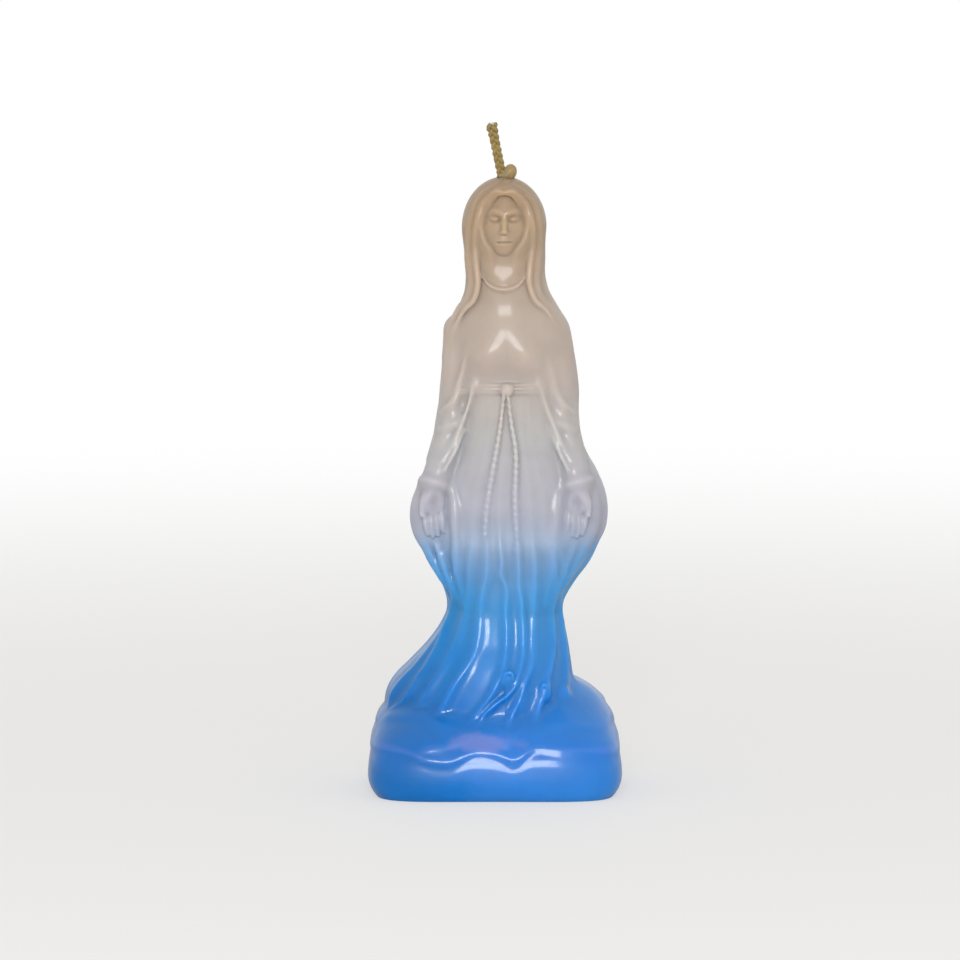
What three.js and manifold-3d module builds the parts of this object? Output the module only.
// Figural candle: a veiled standing lady over a block of waves, cast in two pours of wax round a cotton wick.
// Millimetres, +Z up. The viewer stands at -Y, with +X to the viewer's right.
// The origin is the middle of the foot.
//
// The figure is sculpted as a field of soft solids, each a distance in millimetres to its skin, and the skin
// is found by casting rays out from its upright axis. The skin is then cut into the two pours along their
// meeting face, and bored for the wick.
import * as THREE from "three";
import { mergeVertices } from "three/addons/utils/BufferGeometryUtils.js";
import Module from "manifold-3d";

const wasm = await Module();
wasm.setup();

// Lengths up the figure, from the foot to the crown
const HEM_HEIGHT = 22;
const HEM_TO_KNEES = 22;
const KNEES_TO_FINGERTIPS = 14;
const FINGERTIPS_TO_PALM = 10;
const PALM_TO_CUFF = 7;
const CUFF_TO_ELBOW = 15;
const ELBOW_TO_WAIST = 8;
const WAIST_TO_BUST = 8;
const BUST_TO_SHOULDERS = 7;
const SHOULDERS_TO_CHIN = 17;
const CHIN_TO_CHEEKS = 7;
const CHEEKS_TO_CROWN = 11.5;

// The upright axis of the lady, from the middle of the foot
const AXIS_X = 2.6;
const AXIS_Y = 1.5;

// The block of waves
const BASE_WIDTH = 61.2;
const BASE_DEPTH = 46;
const BASE_TOP_BEHIND = 29;
const BASE_TOP_IN_FRONT = 20.3;
const BASE_WIDEST_HEIGHT = 6;
const BASE_SQUARENESS = 4.8;
const BASE_ROUNDNESS = 3.3;
const BASE_SHOULDER = 2.45;
const FOOT_EDGE = 1.8;
const CREST_HEIGHT = 12;
const UPPER_CREST_HEIGHT = 19.5;
const BACK_CREST_HEIGHT = 27.6;
const CREST_WIDTH = 1.1;
const GROOVE_DROP = 1.8;
const GROOVE_WIDTH = 1.2;
const WAVE_SLOPE = 2.6;
const ROLL_DEPTH = 0.4;
const ROLL_HEIGHT = 4.6;
const ROLL_WIDTH = 3.6;

// Drapery
const DRAPE_SQUARENESS = 2.15;
const TRAIN_LENGTH = 12.2;
const GOWN_FOLD_WIDTH = 1.3;
const MANTLE_FOLD_WIDTH = 1.4;
const FOLD_REACH = 3.6;
const FOLD_END_RADIUS = 1.5;
const EDGE_RADIUS = 0.95;
const INNER_EDGE_REACH = 12;
const OUTER_EDGE_REACH = 20.6;

// Head and veil
const VEIL_WIDTH = 20.4;
const VEIL_DEPTH = 21.6;
const VEIL_HEIGHT = 24;
const VEIL_RIM = 0.8;
const OPENING_WIDTH = 12.6;
const OPENING_LENGTH = 17.6;
const COLLAR_WIDTH = 8.8;
const COLLAR_LENGTH = 11.2;
const FACE_WIDTH = 11.6;
const FACE_LENGTH = 17.3;
const FACE_DEPTH = 13.8;
const FACE_FRONT = 9.4;
const JAW_WIDTH = 10.2;
const JAW_DEPTH = 9;
const NOSE_RADIUS = 0.7;
const NECK_RADIUS = 3.2;

// Chest, arms and hands
const BUST_SPACING = 8.6;
const BUST_RADIUS = 4.2;
const BUST_FRONT = 10.3;
const ARM_RADIUS = 3.9;
const SHOULDER_REACH = 11.2;
const ELBOW_REACH = 12.5;
const ELBOW_FRONT = 3.4;
const CUFF_RADIUS = 4;
const CUFF_FRONT = 7.2;
const HAND_REACH = 17.2;
const HAND_FRONT = 8.7;
const HAND_WIDTH = 5.6;
const HAND_THICKNESS = 3;
const HAND_LENGTH = 12.5;
const THUMB_RADIUS = 0.95;
const LAP_WIDTH = 11;
const LAP_FRONT = 8.6;
const LAP_LENGTH = 18;
const SASH_WIDTH = 22;
const SASH_FRONT = 10;
const SASH_HEIGHT = 3;
const KNOT_RADIUS = 1.15;
const TAIL_SPACING = 7.6;
const TAIL_RADIUS = 0.6;
const TAIL_FRONT = 11.2;
const TAIL_LENGTH = 36;
const TAIL_END_RADIUS = 0.9;

// How softly neighbouring forms run together, from a crease to the body's large forms
const CREASE = 0.8;
const FILLET = 1.5;
const SWELL = 2.4;
const RELIEF_REACH = 4;

// The two pours, the top-up in the foot, the wick and its seal
const POUR_LINE_HEIGHT = 61.5;
const POUR_DISH_DEPTH = 6;
const POUR_DISH_RADIUS = 9;
const TOP_UP_RADIUS = 13;
const TOP_UP_DEPTH = 7;
const FACE_GAP = 0.3;
const WICK_RADIUS = 1.3;
const WICK_REACH = 13.5;
const WICK_LEAN = 3.6;
const WICK_CLEARANCE = 0.3;
const SEAL_WIDTH = 5.4;
const SEAL_HEIGHT = 4.6;
const SEAL_SHIFT = 1.7;

// Fineness of the skin: segments round, and rings over the crown, the body, and the block's shelf and wall
const SEGMENTS = 72;
const FRONT_CROWDING = 0.36;
const CROWN_RINGS = 8;
const BODY_RINGS = 50;
const SHELF_RINGS = 7;
const WALL_RINGS = 15;
const TURNED_SEGMENTS = 30;
const DOME_STEPS = 6;
const WICK_STEPS = 12;

// Heights that the lengths add up to
const KNEES = HEM_HEIGHT + HEM_TO_KNEES;
const FINGERTIPS = KNEES + KNEES_TO_FINGERTIPS;
const PALM = FINGERTIPS + FINGERTIPS_TO_PALM;
const CUFF = PALM + PALM_TO_CUFF;
const ELBOW = CUFF + CUFF_TO_ELBOW;
const WAIST = ELBOW + ELBOW_TO_WAIST;
const BUST = WAIST + WAIST_TO_BUST;
const SHOULDERS = BUST + BUST_TO_SHOULDERS;
const CHIN = SHOULDERS + SHOULDERS_TO_CHIN;
const CHEEKS = CHIN + CHIN_TO_CHEEKS;
const CROWN = CHEEKS + CHEEKS_TO_CROWN;

// Half width, front and back of the draped figure about its axis, from the head down to the foot
const DRAPE_ROWS = [
  [0, 17.8, 17.8, 17.6],
  [HEM_HEIGHT, 16.4, 16.6, 16.6],
  [KNEES - 13, 15.4, 15, 15.2],
  [KNEES - 8, 14.7, 13.3, 13.6],
  [KNEES - 3, 13.8, 12.2, 12.5],
  [KNEES - 0.5, 13.4, 11.8, 12.2],
  [KNEES + 2, 14, 11.7, 12.1],
  [KNEES + 6.8, 16.7, 11.6, 12.1],
  [FINGERTIPS - 2.4, 20.2, 11.9, 12.4],
  [FINGERTIPS + 2.5, 22.5, 11.7, 12.4],
  [PALM - 5, 23.7, 11.5, 12.4],
  [PALM, 24.4, 11.2, 12.3],
  [CUFF, 22.9, 10.6, 12],
  [CUFF + 2.5, 21.7, 10.4, 11.9],
  [ELBOW - 8, 19, 10, 11.7],
  [ELBOW - 3.5, 17.4, 9.7, 11.5],
  [ELBOW, 17.1, 9.4, 11.3],
  [WAIST, 17.2, 9, 10.9],
  [BUST - 4, 16.8, 9.2, 10.9],
  [BUST, 16.2, 9.6, 11],
  [SHOULDERS - 2, 15.3, 9.5, 10.9],
  [SHOULDERS + 1, 14.3, 9.1, 10.7],
  [SHOULDERS + 5, 12.2, 8.6, 10.2],
  [SHOULDERS + 8, 10.7, 8.4, 10],
  [CHIN - 6, 10, 8.2, 10],
  [CHIN, 9.9, 8.2, 10.2],
  [CHIN + 4, 9.5, 8.2, 10],
  [CHEEKS + 1, 7.6, 7, 8.6],
];

// How far the lady leans to the viewer's right of the upright axis
const LEAN_ROWS = [
  [0, 0],
  [CUFF, 0],
  [ELBOW - 3, 0.35],
  [WAIST, 0.2],
  [SHOULDERS, 0],
  [SHOULDERS + 8, -0.45],
  [CHIN - 4, -0.65],
  [CHEEKS, -0.4],
  [CROWN, -0.4],
];

// How far the train spreads to the viewer's left, as a share of its whole length
const TRAIN_ROWS = [
  [0, 0.6],
  [HEM_HEIGHT - 5, 0.9],
  [HEM_HEIGHT + 2, 1],
  [KNEES - 16.6, 0.86],
  [KNEES - 12.7, 0.58],
  [KNEES - 8, 0.27],
  [KNEES - 3, 0.06],
  [KNEES, 0],
];

// Folds of the gown: how far each stands out, and how far to the right it lies at these heights
const GOWN_HEIGHTS = [
  ...[HEM_HEIGHT - 5, HEM_HEIGHT + 2, KNEES - 14, KNEES - 10, KNEES - 5],
  ...[KNEES, KNEES + 6, FINGERTIPS + 2, CUFF, WAIST - 2],
];
const GOWN_FOLDS = [
  { relief: 0.85, across: [-30, -25.6, -21.6, -18.3, -14.7, -12.7, -13.4, -13.9, -12, -7.4] },
  { relief: 1, across: [-26.4, -22.6, -18.9, -16.4, -14, -12.1, -11.2, -10.8, -9.6, -6] },
  { relief: 0.75, across: [-21.3, -18.5, -14.9, -12.5, -10.2, -9, -8.3, -7.9, -7.2, -4.4] },
  { relief: 1, across: [-16.6, -13, -9.9, -7.5, -6.1, -5.7, -4.8, -4.2, -4, -2.8] },
  { relief: 0.95, across: [-8.8, -3.8, -1, 0, 0.4, 0.2, 0.4, -1.1, -1.3, -0.9] },
  { relief: 1.1, across: [-6.6, -0.6, 3.2, 4, 4.2, 4, 3.3, 3, 2.2, 1.2] },
  { relief: 0.9, across: [0.4, 3.4, 5.5, 6.4, 6.5, 6.7, 6.8, 6.6, 5.6, 3.3] },
  { relief: 1.1, across: [6, 8.4, 10.1, 11, 11.3, 11.2, 11.3, 10.4, 8.6, 5.2] },
  { relief: 0.8, across: [12.6, 13.5, 14, 13.8, 13.4, 12.8, 13, 13, 11.4, 7] },
];

// Folds of the mantle at the sides and back: how far each stands out, and its angle at these heights
const MANTLE_HEIGHTS = [HEM_HEIGHT, KNEES, FINGERTIPS + 2, ELBOW, SHOULDERS + 5, CROWN];
const MANTLE_FOLDS = [
  { relief: 0.6, turns: [62, 76, 82, 76, 66, 62] },
  { relief: 0.7, turns: [84, 100, 104, 100, 92, 88] },
  { relief: 0.8, turns: [110, 122, 124, 122, 120, 118] },
  { relief: 0.9, turns: [138, 146, 146, 145, 146, 146] },
  { relief: 0.9, turns: [164, 168, 168, 168, 170, 170] },
  { relief: 0.9, turns: [-171, -168, -168, -167, -165, -164] },
  { relief: 0.9, turns: [-148, -146, -145, -143, -141, -140] },
  { relief: 0.8, turns: [-124, -122, -122, -118, -114, -112] },
  { relief: 0.7, turns: [-101, -100, -102, -96, -88, -84] },
];

// Crests on the block: lip and groove, then the angle from the front and the height over its level
const WAVES = [
  {
    level: CREST_HEIGHT, lip: 0.42, groove: 0.4, fade: 0,
    rows: [
      ...[[-180, 0.4], [-150, -0.8], [-120, 0.8], [-90, -0.6], [-62, 0.6], [-38, 0.2], [-28, -1.4]],
      ...[[-20, -1.9], [-9, 0.3], [2, -0.3], [9, -1.3], [19, 1.2], [28, 0.9], [40, 0.4]],
      ...[[66, -0.7], [95, 0.8], [125, -0.7], [155, 1], [180, 0.4]],
    ],
  },
  {
    level: UPPER_CREST_HEIGHT, lip: 0.36, groove: 0.22, fade: 12,
    rows: [[-76, -1.3], [-58, -0.1], [-41, 0.1], [-30, -1.5], [-18, -3.1]],
  },
  {
    level: UPPER_CREST_HEIGHT, lip: 0.3, groove: 0.12, fade: 8,
    rows: [[-36, -6.7], [-21, -5.4], [-14, -4.1], [-6, -3.3], [1, -4.2], [6, -4.8], [12, -2.9], [17, -0.7]],
  },
  {
    level: UPPER_CREST_HEIGHT, lip: 0.28, groove: 0.2, fade: 12,
    rows: [[20, -2.5], [38, -1.3], [52, -2.3], [70, -1.1]],
  },
  {
    level: UPPER_CREST_HEIGHT, lip: 0.35, groove: 0.35, fade: 12,
    rows: [[56, -2.9], [82, -1.1], [104, -2.7], [128, -0.7], [150, -2.3], [179, -0.9]],
  },
  {
    level: UPPER_CREST_HEIGHT, lip: 0.35, groove: 0.35, fade: 12,
    rows: [[-179, -1.1], [-150, -2.7], [-126, -0.9], [-100, -2.7], [-74, -1.5]],
  },
  {
    level: BACK_CREST_HEIGHT, lip: 0.3, groove: 0.3, fade: 12,
    rows: [[92, -5], [118, -6.4], [142, -4.4], [174, -6]],
  },
  {
    level: BACK_CREST_HEIGHT, lip: 0.3, groove: 0.3, fade: 12,
    rows: [[-174, -5.8], [-146, -4.4], [-120, -6.2], [-94, -5]],
  },
];

// Small helpers for soft solids
const clamp = (value, low, high) => Math.min(high, Math.max(low, value));
const mix = (a, b, share) => a + (b - a) * share;
const bump = (offset, halfWidth) => Math.exp(-((offset / halfWidth) ** 2));
const degrees = (radians) => (radians * 180) / Math.PI;

/** A share from 0 to 1 that eases in and out between two values. */
function smoothStep(low, high, value) {
  const share = clamp((value - low) / (high - low), 0, 1);
  return share * share * (3 - 2 * share);
}

/** Angle from -180 to 180 degrees, the same way round. */
const wrapped = (angle) => ((((angle + 180) % 360) + 360) % 360) - 180;

/** Joins two distances with a fillet of about the given blend. */
function softUnion(a, b, blend) {
  const near = Math.max(blend - Math.abs(a - b), 0) / blend;
  return Math.min(a, b) - (near * near * blend) / 4;
}

/** Takes the second solid out of the first, with a softened edge. */
const softCut = (a, b, blend) => -softUnion(-a, b, blend);

/** Distance to an ellipsoid, close to true near its skin. */
function ellipsoid(x, y, z, centre, radii) {
  const u = (x - centre[0]) / radii[0];
  const v = (y - centre[1]) / radii[1];
  const w = (z - centre[2]) / radii[2];
  const reach = Math.hypot(u, v, w);
  const slope = Math.hypot(u / radii[0], v / radii[1], w / radii[2]);
  return slope < 1e-9 ? -Math.min(...radii) : (reach * (reach - 1)) / slope;
}

/** Distance to a round limb that tapers from one radius to another. */
function limb(x, y, z, from, to, startRadius, endRadius) {
  const ax = to[0] - from[0];
  const ay = to[1] - from[1];
  const az = to[2] - from[2];
  const [dx, dy, dz] = [x - from[0], y - from[1], z - from[2]];
  const share = clamp((dx * ax + dy * ay + dz * az) / (ax * ax + ay * ay + az * az), 0, 1);
  return Math.hypot(dx - ax * share, dy - ay * share, dz - az * share) - mix(startRadius, endRadius, share);
}

/** A smooth curve through rows of [position, value, value, ...] in rising order, read at one position. */
function through(rows, position) {
  const last = rows.length - 1;
  let index = 0;
  while (index < last - 1 && position > rows[index + 1][0]) index += 1;
  const [a, b] = [rows[index], rows[index + 1]];
  const before = rows[Math.max(index - 1, 0)];
  const after = rows[Math.min(index + 2, last)];
  const span = b[0] - a[0];
  const share = clamp((position - a[0]) / span, 0, 1);
  const [s2, s3] = [share ** 2, share ** 3];
  return a.slice(1).map((value, column) => {
    const at = column + 1;
    const leaving = index > 0 ? ((b[at] - before[at]) / (b[0] - before[0])) * span : b[at] - value;
    const arriving = index + 2 <= last ? ((after[at] - value) / (after[0] - a[0])) * span : b[at] - value;
    const ends = (2 * s3 - 3 * s2 + 1) * value + (3 * s2 - 2 * s3) * b[at];
    return ends + (s3 - 2 * s2 + share) * leaving + (s3 - s2) * arriving;
  });
}

/** The same curve with its last reading remembered, because a ring of rays asks for one height many times. */
function remembered(rows) {
  let asked = NaN;
  let answer = [];
  return (position) => {
    if (position !== asked) {
      asked = position;
      answer = through(rows, position);
    }
    return answer;
  };
}

const drapeAt = remembered(DRAPE_ROWS);
const leanAt = remembered(LEAN_ROWS);
const trainAt = remembered(TRAIN_ROWS);

/** Angle from the front, in degrees to the viewer's right, of a point on an oval of the given half sizes. */
const ovalAngle = (x, y, halfWidth, halfDepth) => degrees(Math.atan2(x / halfWidth, -y / halfDepth));

/** The folds' ways up the figure, each read as its angle from the front at a height. */
const GOWN_ROUTES = GOWN_FOLDS.map(({ relief, across }) => {
  const at = remembered(GOWN_HEIGHTS.map((height, row) => [height, across[row]]));
  const turnAt = (z) => {
    const reach = at(z)[0];
    const half = drapeAt(z)[0] + (reach < 0 ? trainAt(z)[0] * TRAIN_LENGTH : 0);
    return degrees(Math.asin(clamp(reach / half, -0.96, 0.96)));
  };
  return { relief, turnAt };
});
const MANTLE_ROUTES = MANTLE_FOLDS.map(({ relief, turns }) => {
  const at = remembered(MANTLE_HEIGHTS.map((height, row) => [height, turns[row]]));
  return { relief, turnAt: (z) => at(z)[0] };
});

/** How far a set of folds stands out at an angle and height, given a degree's length round the body. */
function ridges(routes, angle, z, perDegree, width) {
  let total = 0;
  for (const { relief, turnAt } of routes) {
    const offset = (wrapped(angle - turnAt(z)) * perDegree) / width;
    if (Math.abs(offset) < FOLD_REACH) total += relief * Math.exp(-(Math.abs(offset) ** 1.7));
  }
  return total;
}

/** How far the folds of gown and mantle stand out of the body. */
function foldRelief(angle, z, halfWidth, halfDepth) {
  const turn = (angle * Math.PI) / 180;
  const perDegree = (Math.hypot(halfWidth * Math.cos(turn), halfDepth * Math.sin(turn)) * Math.PI) / 180;
  const overHem = 0.3 * smoothStep(HEM_HEIGHT + 12, HEM_HEIGHT + 3, z);
  const gown = 0.14 + 0.66 * smoothStep(PALM, FINGERTIPS - 4, z) + overHem;
  const mantle = 0.35 + 0.65 * smoothStep(SHOULDERS, PALM, z);
  const belowSash = gown * smoothStep(WAIST, WAIST - 5, z);
  const inFront = belowSash * ridges(GOWN_ROUTES, angle, z, perDegree, GOWN_FOLD_WIDTH);
  return inFront + mantle * ridges(MANTLE_ROUTES, angle, z, perDegree, MANTLE_FOLD_WIDTH);
}

/** Mantle, gown and train: one draped body about the upright axis. */
function drapery(x, y, z) {
  const [half, front, back] = drapeAt(z);
  const halfWidth = x < 0 ? half + trainAt(z)[0] * TRAIN_LENGTH : half;
  const halfDepth = y < 0 ? front : back;
  const across = Math.abs(x / halfWidth) ** DRAPE_SQUARENESS + Math.abs(y / halfDepth) ** DRAPE_SQUARENESS;
  const radius = Math.hypot(x, y);
  const body = across < 1e-9 ? -front : radius * (1 - across ** (-1 / DRAPE_SQUARENESS));
  const nearSkin = Math.abs(body) < RELIEF_REACH;
  const relief = nearSkin ? foldRelief(ovalAngle(x, y, halfWidth, halfDepth), z, halfWidth, halfDepth) : 0;
  return Math.max(body - relief, z - CHEEKS);
}

const VEIL_CENTRE = [0, 0.4, CROWN - VEIL_HEIGHT / 2];
const VEIL_RADII = [VEIL_WIDTH / 2, VEIL_DEPTH / 2, VEIL_HEIGHT / 2];

/** The front of the veil at a distance to the side and a height above its middle. */
function onVeil(side, above) {
  const share = 1 - (side / VEIL_RADII[0]) ** 2 - (above / VEIL_RADII[2]) ** 2;
  return [side, VEIL_CENTRE[1] - VEIL_RADII[1] * Math.sqrt(Math.max(share, 0)), VEIL_CENTRE[2] + above];
}

/** A plain oval face with a jaw and a nose. */
function face(side, y, z) {
  const eyes = CHIN + FACE_LENGTH / 2;
  const skullCentre = [0, FACE_DEPTH / 2 - FACE_FRONT, eyes + 0.6];
  const skull = ellipsoid(side, y, z, skullCentre, [FACE_WIDTH / 2, FACE_DEPTH / 2, FACE_LENGTH / 2]);
  const jawCentre = [0, JAW_DEPTH / 2 - FACE_FRONT, CHIN + FACE_LENGTH * 0.26];
  const jaw = ellipsoid(side, y, z, jawCentre, [JAW_WIDTH / 2, JAW_DEPTH / 2, FACE_LENGTH * 0.27]);
  const bridge = [0, 0.5 - FACE_FRONT, eyes + 0.8];
  const tip = [0, -FACE_FRONT, CHIN + FACE_LENGTH * 0.34];
  const nose = limb(side, y, z, bridge, tip, NOSE_RADIUS * 0.7, NOSE_RADIUS);
  return softUnion(softUnion(skull, jaw, FILLET), nose, CREASE);
}

/** Veiled head on its neck, with the face and collar opened in the cloth. */
function veiledHead(side, y, z, cloth) {
  const veil = ellipsoid(side, y, z, VEIL_CENTRE, VEIL_RADII);
  const openingCentre = [0, -VEIL_DEPTH / 2 - CREASE, CHIN + FACE_LENGTH * 0.44];
  const openingRadii = [OPENING_WIDTH / 2, VEIL_DEPTH / 4, OPENING_LENGTH / 2];
  const collarCentre = [0, openingCentre[1] + 0.2, CHIN - 1.6];
  const collarRadii = [COLLAR_WIDTH / 2, VEIL_DEPTH * 0.18, COLLAR_LENGTH / 2];
  const opening = softUnion(
    ellipsoid(side, y, z, openingCentre, openingRadii),
    ellipsoid(side, y, z, collarCentre, collarRadii),
    FILLET,
  );
  const opened = softCut(softUnion(cloth, veil, CREASE), opening, CREASE);
  const neck = limb(side, y, z, [0, -4.2, CHIN + 2], [0, -4.4, CHIN - 8], NECK_RADIUS, NECK_RADIUS * 1.12);
  return softUnion(softUnion(opened, neck, CREASE), face(side, y, z), CREASE);
}

/** The veil's rolled rim, from the brow past the cheek and the throat to the shoulder. */
function veilRim(side, y, z) {
  const rim = [
    onVeil(0, VEIL_HEIGHT * 0.38),
    onVeil(VEIL_WIDTH * 0.14, VEIL_HEIGHT * 0.35),
    onVeil(VEIL_WIDTH * 0.24, VEIL_HEIGHT * 0.26),
    onVeil(VEIL_WIDTH * 0.32, VEIL_HEIGHT * 0.05),
    onVeil(VEIL_WIDTH * 0.33, -VEIL_HEIGHT * 0.19),
    [VEIL_WIDTH * 0.31, -8.3, CHIN - 2.6],
    [VEIL_WIDTH * 0.3, -8.5, CHIN - 7],
    [VEIL_WIDTH * 0.36, -7.9, SHOULDERS + 6.2],
    [SHOULDER_REACH - 1.3, -6.4, SHOULDERS + 3.6],
    [SHOULDER_REACH + 1.2, -4.4, SHOULDERS - 1],
  ];
  let shape = Infinity;
  for (let at = 1; at < rim.length; at += 1) {
    shape = Math.min(shape, limb(side, y, z, rim[at - 1], rim[at], VEIL_RIM, VEIL_RIM));
  }
  return shape;
}

/** Chest and bust under the gown. */
function chest(side, y, z) {
  const radii = [BUST_RADIUS, BUST_RADIUS, BUST_RADIUS];
  const bust = ellipsoid(side, y, z, [BUST_SPACING / 2, BUST_RADIUS - BUST_FRONT, BUST], radii);
  return softUnion(bust, ellipsoid(side, y, z, [0, -1.6, BUST + 3], [9.4, 7.8, 8.6]), SWELL);
}

/** An arm in its sleeve: upper arm down to the elbow, forearm out to a flared cuff. */
function sleeve(side, y, z) {
  const shoulder = [SHOULDER_REACH, -1, SHOULDERS - 1.5];
  const elbow = [ELBOW_REACH, -ELBOW_FRONT, ELBOW];
  const wrist = [HAND_REACH, -CUFF_FRONT, CUFF];
  const upper = limb(side, y, z, shoulder, elbow, ARM_RADIUS, ARM_RADIUS);
  const fore = limb(side, y, z, elbow, wrist, ARM_RADIUS, CUFF_RADIUS * 0.8);
  const cuff = ellipsoid(side, y, z, wrist, [CUFF_RADIUS, CUFF_RADIUS * 0.9, CUFF_RADIUS * 0.3]);
  return softUnion(softUnion(upper, fore, SWELL), cuff, FILLET);
}

/** Open hand, palm to the front, its fingers together and down, its thumb outward. */
function hand(side, y, z) {
  const palmCentre = [HAND_REACH, -HAND_FRONT, CUFF - HAND_LENGTH * 0.36];
  const palm = ellipsoid(side, y, z, palmCentre, [HAND_WIDTH / 2, HAND_THICKNESS / 2, HAND_LENGTH * 0.38]);
  const knuckles = [HAND_REACH - 0.3, -HAND_FRONT - 0.4, CUFF - HAND_LENGTH * 0.6];
  const tips = [HAND_REACH - 1.5, -HAND_FRONT - 1, CUFF - HAND_LENGTH + HAND_THICKNESS * 0.36];
  const fingers = limb(side, y, z, knuckles, tips, HAND_THICKNESS * 0.55, HAND_THICKNESS * 0.36);
  const thumbRoot = [HAND_REACH + THUMB_RADIUS, -HAND_FRONT, palmCentre[2] + 1.5];
  const thumbTip = [HAND_REACH + HAND_WIDTH / 2 + THUMB_RADIUS * 0.8, -HAND_FRONT - 0.5, palmCentre[2] - 2.6];
  const thumb = limb(side, y, z, thumbRoot, thumbTip, THUMB_RADIUS, THUMB_RADIUS);
  return softUnion(softUnion(palm, fingers, FILLET), thumb, CREASE);
}

/** The lap of mantle that the hand lies on. */
function handLap(side, y, z) {
  const centre = [HAND_REACH + 0.3, -LAP_FRONT + 3.4, CUFF - LAP_LENGTH * 0.42];
  return ellipsoid(side, y, z, centre, [LAP_WIDTH / 2, 3.4, LAP_LENGTH / 2]);
}

/** Edges of the mantle that fall from the forearm, inside and outside the hand, and gather at the knees. */
function mantleEdges(side, y, z) {
  const innerTop = [INNER_EDGE_REACH + 1, -8.2, CUFF];
  const innerMiddle = [INNER_EDGE_REACH, -9.8, FINGERTIPS + 5];
  const innerLap = [INNER_EDGE_REACH - 0.6, -9.6, FINGERTIPS - 3];
  const outerTop = [OUTER_EDGE_REACH, -4.9, PALM - 2];
  const outerLap = [OUTER_EDGE_REACH - 2.4, -5.7, FINGERTIPS - 1];
  const inner = limb(side, y, z, innerTop, innerMiddle, EDGE_RADIUS * 0.6, EDGE_RADIUS);
  const fall = limb(side, y, z, innerMiddle, innerLap, EDGE_RADIUS, EDGE_RADIUS);
  const tail = limb(side, y, z, innerLap, [9.8, -8.4, KNEES + 2], EDGE_RADIUS, EDGE_RADIUS * 0.2);
  const outer = limb(side, y, z, outerTop, outerLap, EDGE_RADIUS * 0.7, EDGE_RADIUS * 0.8);
  const gathered = limb(side, y, z, outerLap, [12.6, -5, KNEES + 3], EDGE_RADIUS * 0.8, EDGE_RADIUS * 0.2);
  return Math.min(inner, fall, tail, outer, gathered);
}

/** The sash with its knot, and its two tails, which fall apart down the front of the gown. */
function sash(x, y, z) {
  const sashRadii = [SASH_WIDTH / 2, SASH_FRONT - 1, SASH_HEIGHT / 2];
  const belt = ellipsoid(x, y, z, [0, -1, WAIST], sashRadii);
  const knotRadii = [KNOT_RADIUS, KNOT_RADIUS * 0.85, KNOT_RADIUS * 1.2];
  const knot = ellipsoid(x, y, z, [0.1, 0.2 - SASH_FRONT, WAIST], knotRadii);
  let shape = softUnion(belt, knot, CREASE);
  for (const way of [-1, 1]) {
    const reach = (way * TAIL_SPACING) / 2;
    const top = [0.3 * way, -SASH_FRONT, WAIST - 0.6];
    const lap = [reach * 0.78, -0.4 - SASH_FRONT, WAIST - TAIL_LENGTH * 0.5];
    const end = [reach, -TAIL_FRONT, WAIST - TAIL_LENGTH];
    const fall = limb(x, y, z, top, lap, TAIL_RADIUS, TAIL_RADIUS);
    shape = Math.min(shape, fall, limb(x, y, z, lap, end, TAIL_RADIUS, TAIL_END_RADIUS));
  }
  return shape;
}

/** Rounded fold ends that stand out of the gown over the hem. */
function foldEnds(x, y, z) {
  const radii = [FOLD_END_RADIUS, FOLD_END_RADIUS * 0.9, FOLD_END_RADIUS * 1.4];
  const middle = ellipsoid(x, y, z, [0.6, -15.6, HEM_HEIGHT + 6.8], radii);
  const right = ellipsoid(x, y, z, [9.6, -13.6, HEM_HEIGHT + 3.4], radii);
  return Math.min(middle, right, ellipsoid(x, y, z, [13.9, -9.2, HEM_HEIGHT + 1.6], radii));
}

/** How far the waves cut into the block, less how far their lips stand out, at an angle and height. */
function waveRelief(angle, z) {
  let relief = ROLL_DEPTH * (0.75 - bump(z - ROLL_HEIGHT, ROLL_WIDTH));
  for (const { level, lip, groove, fade, rows } of WAVES) {
    const [start, end] = [rows[0][0], rows[rows.length - 1][0]];
    if (angle < start || angle > end) continue;
    const share = fade > 0 ? smoothStep(start, start + fade, angle) * smoothStep(end, end - fade, angle) : 1;
    const above = z - level - through(rows, angle)[0];
    const slope = above > 0 ? 0.55 * lip * bump(above, WAVE_SLOPE) : 0;
    const standing = Math.max(lip * bump(above, CREST_WIDTH), slope);
    relief += share * (groove * bump(above + GROOVE_DROP, GROOVE_WIDTH) - standing);
  }
  return relief;
}

/** The block of waves about the foot's middle: a rounded slab, higher behind, with swaying crests. */
function waveBlock(x, y, z) {
  const halfWidth = BASE_WIDTH / 2;
  const halfDepth = BASE_DEPTH / 2;
  const top = mix(BASE_TOP_BEHIND, BASE_TOP_IN_FRONT, smoothStep(0.1, -0.85, y / halfDepth));
  const share = Math.max((z - BASE_WIDEST_HEIGHT) / (top - BASE_WIDEST_HEIGHT), 0);
  const rise = share ** (BASE_SHOULDER / BASE_ROUNDNESS);
  const tuck = Math.max((BASE_WIDEST_HEIGHT - z) / BASE_WIDEST_HEIGHT, 0);
  const plan = Math.abs(x / halfWidth) ** BASE_SQUARENESS + Math.abs(y / halfDepth) ** BASE_SQUARENESS;
  const norm = plan ** (1 / BASE_SQUARENESS);
  const dome = (norm ** BASE_ROUNDNESS + rise ** BASE_ROUNDNESS) ** (1 / BASE_ROUNDNESS);
  const reach = Math.hypot(x, y, Math.max(z - BASE_WIDEST_HEIGHT, 0));
  const slab = dome < 1e-6 ? -halfDepth : reach * (1 - 1 / dome) + FOOT_EDGE * tuck ** 3;
  if (slab > 2 || slab < -4) return slab;
  const onWall = smoothStep(0.3, 0.8, norm);
  return slab + waveRelief(ovalAngle(x, y, halfWidth, halfDepth), z) * onWall;
}

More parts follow.
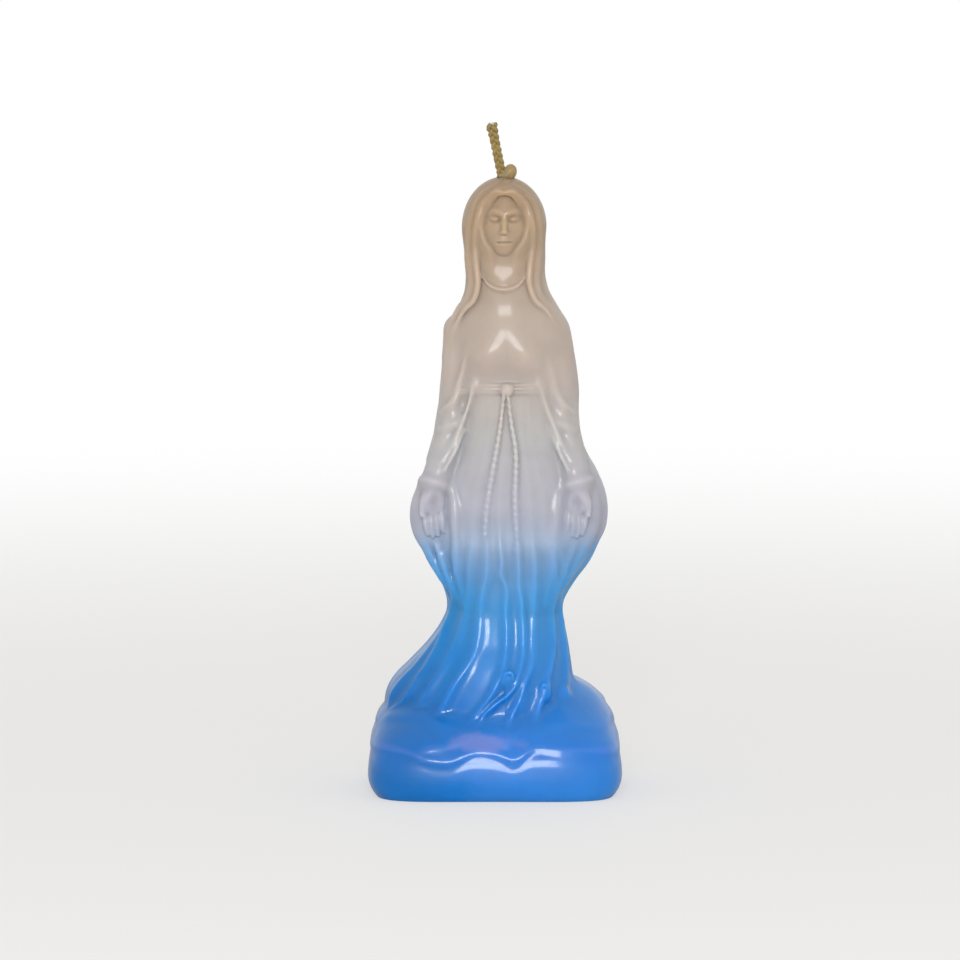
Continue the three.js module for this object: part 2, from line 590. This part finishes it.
/** The whole figure's distance at a point, in the frame of the part. */
function figure(x, y, z) {
  const [fx, fy] = [x - AXIS_X - leanAt(z)[0], y - AXIS_Y];
  const side = Math.abs(fx);
  let shape = drapery(fx, fy, z);
  if (z > SHOULDERS - 8) shape = veiledHead(side, fy, z, shape);
  if (z > FINGERTIPS - 8 && z < CHIN) {
    shape = softUnion(shape, chest(side, fy, z), SWELL);
    shape = softUnion(shape, sleeve(side, fy, z), FILLET);
    shape = softUnion(shape, handLap(side, fy, z), SWELL);
  }
  if (z > SHOULDERS - 8) shape = softUnion(shape, veilRim(side, fy, z), CREASE);
  if (z > FINGERTIPS - 8 && z < CHIN) {
    shape = softUnion(shape, sash(fx, fy, z), CREASE);
    shape = softUnion(shape, hand(side, fy, z), CREASE);
  }
  if (z > KNEES - 6 && z < WAIST) shape = softUnion(shape, mantleEdges(side, fy, z), FILLET);
  if (z < KNEES) shape = softUnion(shape, foldEnds(fx, fy, z), FILLET);
  if (z < BASE_TOP_BEHIND + 8) shape = softUnion(shape, waveBlock(x, y, z), FILLET);
  return shape;
}

// Rays leave the axis at these heights and tilts, with this many rings from one row to the next
const RAY_ROWS = [
  { height: CHEEKS + 1, tilt: Math.PI / 2, rings: CROWN_RINGS },
  { height: CHEEKS + 1, tilt: 0, rings: BODY_RINGS },
  { height: BASE_TOP_BEHIND + 6, tilt: 0, rings: SHELF_RINGS },
  { height: BASE_TOP_IN_FRONT / 2, tilt: 0.5, rings: WALL_RINGS },
  { height: 0, tilt: 0, rings: 1 },
];
const RAY_MARGIN = 4;
const SOFTENING = 0.3;
const SHORTEST_STEP = 0.4;
const HALVINGS = 12;

/** The point at a reach along a ray that leaves the axis at a height and tilt, at a turn from the front. */
function rayPoint({ height, tilt }, turn, reach) {
  const out = reach * Math.cos(tilt);
  return [AXIS_X + out * Math.sin(turn), AXIS_Y - out * Math.cos(turn), height + reach * Math.sin(tilt)];
}

/** How far out along a ray the figure reaches. */
function skinReach(ray, turn) {
  let outside = Math.hypot(BASE_WIDTH, BASE_DEPTH) / 2 + Math.abs(AXIS_X) + RAY_MARGIN;
  let inside = outside;
  for (let distance = 0; inside > 0; inside -= Math.max(distance / 2, SHORTEST_STEP)) {
    distance = figure(...rayPoint(ray, turn, inside));
    if (distance < 0) break;
    outside = inside;
  }
  for (let halving = 0; halving < HALVINGS; halving += 1) {
    const middle = (outside + inside) / 2;
    if (figure(...rayPoint(ray, turn, middle)) < 0) inside = middle;
    else outside = middle;
  }
  return inside;
}

/** Eases each reach towards its neighbours', as warm wax softens a crease. The first and last ring stay. */
function softened(reaches) {
  return reaches.map((ring, row) => {
    const [above, below] = [reaches[row - 1], reaches[row + 1]];
    if (!above || !below) return ring;
    return ring.map((reach, segment) => {
      const beside = ring.at(segment - 1) + ring[(segment + 1) % SEGMENTS];
      return mix(reach, (beside + above[segment] + below[segment]) / 4, SOFTENING);
    });
  });
}

/** The closed skin of the figure: a pole at the crown, rings down to the foot, and a flat foot. */
function figureSkin() {
  const rings = [];
  for (let row = 0; row < RAY_ROWS.length - 1; row += 1) {
    const [from, to] = [RAY_ROWS[row], RAY_ROWS[row + 1]];
    for (let ring = row === 0 ? 1 : 0; ring < from.rings; ring += 1) {
      const share = ring / from.rings;
      rings.push({ height: mix(from.height, to.height, share), tilt: mix(from.tilt, to.tilt, share) });
    }
  }
  rings.push(RAY_ROWS[RAY_ROWS.length - 1]);
  const turns = [];
  for (let segment = 0; segment < SEGMENTS; segment += 1) {
    const even = (2 * Math.PI * segment) / SEGMENTS;
    turns.push(even - FRONT_CROWDING * Math.sin(even));
  }
  const measured = rings.map((ray) => turns.map((turn) => skinReach(ray, turn)));
  const reaches = softened(measured);
  const points = [rayPoint(RAY_ROWS[0], 0, skinReach(RAY_ROWS[0], 0))];
  rings.forEach((ray, row) => {
    turns.forEach((turn, segment) => points.push(rayPoint(ray, turn, reaches[row][segment])));
  });
  const foot = points.length;
  points.push([AXIS_X, AXIS_Y, 0]);
  const faces = [];
  const last = rings.length - 1;
  for (let segment = 0; segment < SEGMENTS; segment += 1) {
    const next = (segment + 1) % SEGMENTS;
    faces.push(0, 1 + segment, 1 + next);
    for (let ring = 0; ring < last; ring += 1) {
      const upper = 1 + ring * SEGMENTS;
      const lower = upper + SEGMENTS;
      faces.push(upper + segment, lower + segment, lower + next);
      faces.push(upper + segment, lower + next, upper + next);
    }
    faces.push(foot, 1 + last * SEGMENTS + next, 1 + last * SEGMENTS + segment);
  }
  const geometry = new THREE.BufferGeometry();
  geometry.setAttribute("position", new THREE.Float32BufferAttribute(points.flat(), 3));
  geometry.setIndex(faces);
  return geometry;
}

/** A closed geometry as a solid that can be joined and cut. */
function solid(geometry) {
  const bare = geometry.clone();
  bare.deleteAttribute("normal");
  bare.deleteAttribute("uv");
  const merged = mergeVertices(bare, 1e-4);
  const vertProperties = new Float32Array(merged.attributes.position.array);
  const triVerts = new Uint32Array(merged.index.array);
  return new wasm.Manifold(new wasm.Mesh({ numProp: 3, vertProperties, triVerts }));
}

/** A solid as a named mesh of one wax or fibre. */
function piece(name, shape, material) {
  const { vertProperties, triVerts } = shape.getMesh();
  const geometry = new THREE.BufferGeometry();
  geometry.setAttribute("position", new THREE.BufferAttribute(vertProperties, 3));
  geometry.setIndex(new THREE.BufferAttribute(triVerts, 1));
  geometry.computeVertexNormals();
  const mesh = new THREE.Mesh(geometry, material);
  mesh.name = name;
  return mesh;
}

/** A turned solid on the figure's axis: its profile is [radius, height] points from the axis back to it. */
function turned(profile) {
  const points = profile.map(([radius, height]) => new THREE.Vector2(radius, height));
  const geometry = new THREE.LatheGeometry(points, TURNED_SEGMENTS).rotateX(Math.PI / 2);
  return solid(geometry.translate(AXIS_X, AXIS_Y, 0));
}

/** All the space below the meeting face of the pours, which domes up round the wick where the first sank. */
function belowPour(lift) {
  const far = BASE_WIDTH;
  const rim = POUR_LINE_HEIGHT + lift;
  const dome = [];
  for (let step = DOME_STEPS; step >= 0; step -= 1) {
    const share = step / DOME_STEPS;
    dome.push([POUR_DISH_RADIUS * share, rim + POUR_DISH_DEPTH * (1 - share ** 2) ** 1.5]);
  }
  return turned([[0, -far], [far, -far], [far, rim], ...dome]);
}

/** The shallow well that the wax leaves in the foot as it shrinks, grown by a clearance and opened below. */
function footWell(clearance) {
  const mouth = clearance > 0 ? -TOP_UP_DEPTH : 0;
  const dome = [];
  for (let step = 0; step < DOME_STEPS; step += 1) {
    const angle = (step / DOME_STEPS) * (Math.PI / 2);
    dome.push([(TOP_UP_RADIUS + clearance) * Math.cos(angle), (TOP_UP_DEPTH + clearance) * Math.sin(angle)]);
  }
  const wall = mouth < 0 ? [[dome[0][0], mouth]] : [];
  return turned([[0, mouth], ...wall, ...dome, [0, TOP_UP_DEPTH + clearance]]);
}

/** The wick from a given foot, straight up through the wax, then leaning over where it leaves the crown. */
function wickSolid(radius, foot) {
  const lean = WICK_LEAN / WICK_REACH;
  const route = new THREE.CatmullRomCurve3(
    [-3, 0, 0.18, 0.5, 1].map((share) => {
      const above = share * (share < 0 ? 1 : WICK_REACH);
      const over = share <= 0 ? 0 : above * lean * (0.6 + 0.4 * share);
      return new THREE.Vector3(AXIS_X - over, AXIS_Y, CROWN + above);
    }),
  );
  const section = new THREE.Shape().absarc(0, 0, radius, 0, 2 * Math.PI);
  const curveSegments = WICK_STEPS / 2;
  const settings = { extrudePath: route, steps: WICK_STEPS, curveSegments, bevelEnabled: false };
  const bent = solid(new THREE.ExtrudeGeometry(section, settings));
  const straight = CROWN - 2 - foot;
  const shaft = new THREE.CylinderGeometry(radius, radius, straight, WICK_STEPS).rotateX(Math.PI / 2);
  return solid(shaft.translate(AXIS_X, AXIS_Y, foot + straight / 2)).add(bent);
}

/** A dab of wax that seals the wick where it leaves the crown, fuller on the viewer's right. */
function sealSolid() {
  const dab = new THREE.SphereGeometry(0.5, 18, 12).scale(SEAL_WIDTH, SEAL_WIDTH * 0.85, SEAL_HEIGHT);
  return solid(dab.translate(AXIS_X + SEAL_SHIFT, AXIS_Y, CROWN + 0.4));
}

const IVORY_WAX = new THREE.MeshStandardMaterial({ color: "#c3b6a8", roughness: 0.35, metalness: 0 });
const BLUE_WAX = new THREE.MeshStandardMaterial({ color: "#3b8ad8", roughness: 0.3, metalness: 0 });
const WAXED_COTTON = new THREE.MeshStandardMaterial({ color: "#8d7744", roughness: 0.8, metalness: 0 });

const lady = solid(figureSkin());
const bore = wickSolid(WICK_RADIUS + WICK_CLEARANCE, -TOP_UP_DEPTH);
const ivory = lady.subtract(belowPour(FACE_GAP)).subtract(bore);
const blue = lady.intersect(belowPour(0)).subtract(footWell(FACE_GAP)).subtract(bore);
const topUp = footWell(0).subtract(bore);
const seal = sealSolid().subtract(lady.translate(0, 0, FACE_GAP)).subtract(bore);

const candle = new THREE.Group();
candle.add(
  piece("ivory_pour", ivory, IVORY_WAX),
  piece("blue_pour", blue, BLUE_WAX),
  piece("foot_top_up", topUp, BLUE_WAX),
  piece("wick", wickSolid(WICK_RADIUS, 0), WAXED_COTTON),
  piece("wick_seal", seal, IVORY_WAX),
);

export default candle;
